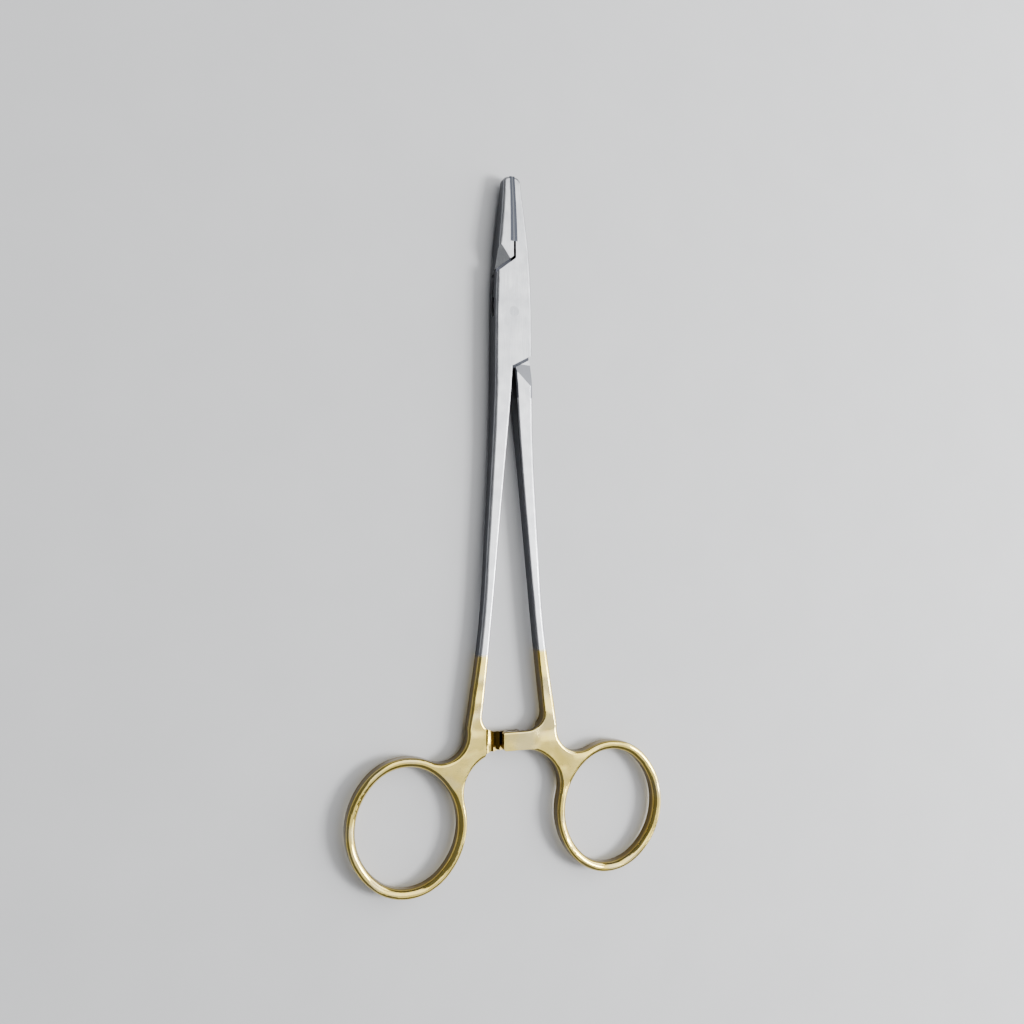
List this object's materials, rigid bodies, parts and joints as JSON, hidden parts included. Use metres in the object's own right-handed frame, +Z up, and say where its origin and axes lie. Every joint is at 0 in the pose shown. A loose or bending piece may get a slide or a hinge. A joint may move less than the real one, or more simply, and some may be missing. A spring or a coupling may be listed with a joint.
{
  "type": "surgical needle holder",
  "caption": "Box-lock needle holder with finger rings, a toothed ratchet between the shanks and carbide faced jaws that open about a flush pin.",
  "frame": {"origin": "pivot axis of the box lock, on the underside of the box", "axes": "+Y along the instrument to the jaw tips, +Z up out of the flat side, +X to the right; jaws closed"},
  "size_m": [0.0722, 0.1529, 0.0048],
  "materials": {
    "instrument_steel": "satin brushed, with polished gold plating over the lower shanks, ratchet and rings",
    "pin_steel": "satin brushed, flush with the box",
    "carbide": "dark grey, finely cross-serrated"
  },
  "bodies": {
    "outer_half": {"female_half": "instrument_steel", "box_lock_pin": "pin_steel", "right_jaw_insert": "carbide"},
    "inner_half": {"male_half": "instrument_steel", "left_jaw_insert": "carbide"}
  },
  "joints": [
    {"name": "box_lock", "type": "hinge", "parent": "outer_half", "child": "inner_half", "pos_m": [0, 0, 0], "axis": [0, 0, 1], "range_deg": [0, 50]}
  ]
}
